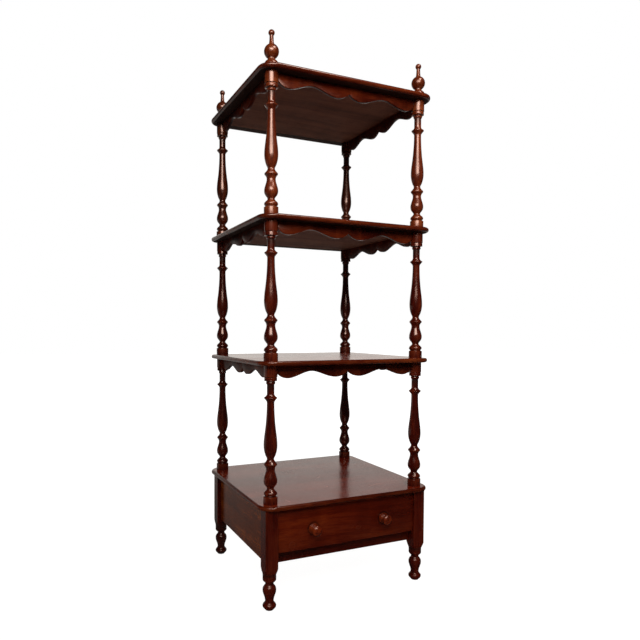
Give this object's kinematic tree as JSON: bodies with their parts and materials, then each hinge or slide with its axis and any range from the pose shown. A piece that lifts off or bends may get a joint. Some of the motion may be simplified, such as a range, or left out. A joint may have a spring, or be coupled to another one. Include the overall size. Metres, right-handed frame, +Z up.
{
  "type": "etagere",
  "caption": "Open display shelves of dark turned wood on slim corner posts with ball finials, shaped aprons, and a shallow case with a sliding drawer on turned feet.",
  "frame": {"origin": "on the floor, under the centre of the whole piece, knobs included", "axes": "+Z up, -Y towards the front, where the drawer opens, +X to the right of someone facing the drawer"},
  "size_m": [0.499, 0.462, 1.4088],
  "materials": {
    "mahogany_turned": "satin polish",
    "mahogany_board": "satin polish",
    "mahogany_apron": "satin polish",
    "mahogany_leg": "satin polish",
    "mahogany_case": "satin polish",
    "drawer_oak": "bare, aged",
    "carcase_pine": "bare, aged",
    "screw_steel": "dulled"
  },
  "bodies": {
    "frame": {"back_panel": "mahogany_case", "case_top": "mahogany_board", "drawer_stops": "carcase_pine", "finial_back_left": "mahogany_turned", "finial_back_right": "mahogany_turned", "finial_front_left": "mahogany_turned", "finial_front_right": "mahogany_turned", "front_rail": "mahogany_case", "left_drawer_guide": "carcase_pine", "left_drawer_kicker": "carcase_pine", "left_drawer_runner": "carcase_pine", "left_side_panel": "mahogany_case", "leg_back_left": "mahogany_leg", "leg_back_right": "mahogany_leg", "leg_front_left": "mahogany_leg", "leg_front_right": "mahogany_leg", "lower_post_back_left": "mahogany_turned", "lower_post_back_right": "mahogany_turned", "lower_post_front_left": "mahogany_turned", "lower_post_front_right": "mahogany_turned", "middle_post_back_left": "mahogany_turned", "middle_post_back_right": "mahogany_turned", "middle_post_front_left": "mahogany_turned", "middle_post_front_right": "mahogany_turned", "middle_shelf": "mahogany_board", "middle_shelf_front_apron": "mahogany_apron", "middle_shelf_left_apron": "mahogany_apron", "middle_shelf_right_apron": "mahogany_apron", "right_drawer_guide": "carcase_pine", "right_drawer_kicker": "carcase_pine", "right_drawer_runner": "carcase_pine", "right_side_panel": "mahogany_case", "top_screws": "screw_steel", "top_shelf": "mahogany_board", "top_shelf_front_apron": "mahogany_apron", "top_shelf_left_apron": "mahogany_apron", "top_shelf_right_apron": "mahogany_apron", "upper_post_back_left": "mahogany_turned", "upper_post_back_right": "mahogany_turned", "upper_post_front_left": "mahogany_turned", "upper_post_front_right": "mahogany_turned", "upper_shelf": "mahogany_board", "upper_shelf_front_apron": "mahogany_apron", "upper_shelf_left_apron": "mahogany_apron", "upper_shelf_right_apron": "mahogany_apron"},
    "drawer": {"drawer_front": "mahogany_case", "drawer_back": "drawer_oak", "drawer_bottom": "drawer_oak", "drawer_left_side": "drawer_oak", "drawer_right_side": "drawer_oak", "left_knob": "mahogany_turned", "right_knob": "mahogany_turned", "drawer_bottom_screws": "screw_steel"}
  },
  "joints": [
    {"name": "drawer_slide", "type": "slide", "parent": "frame", "child": "drawer", "axis": [0, -1, 0], "range_m": [0, 0.26]}
  ]
}
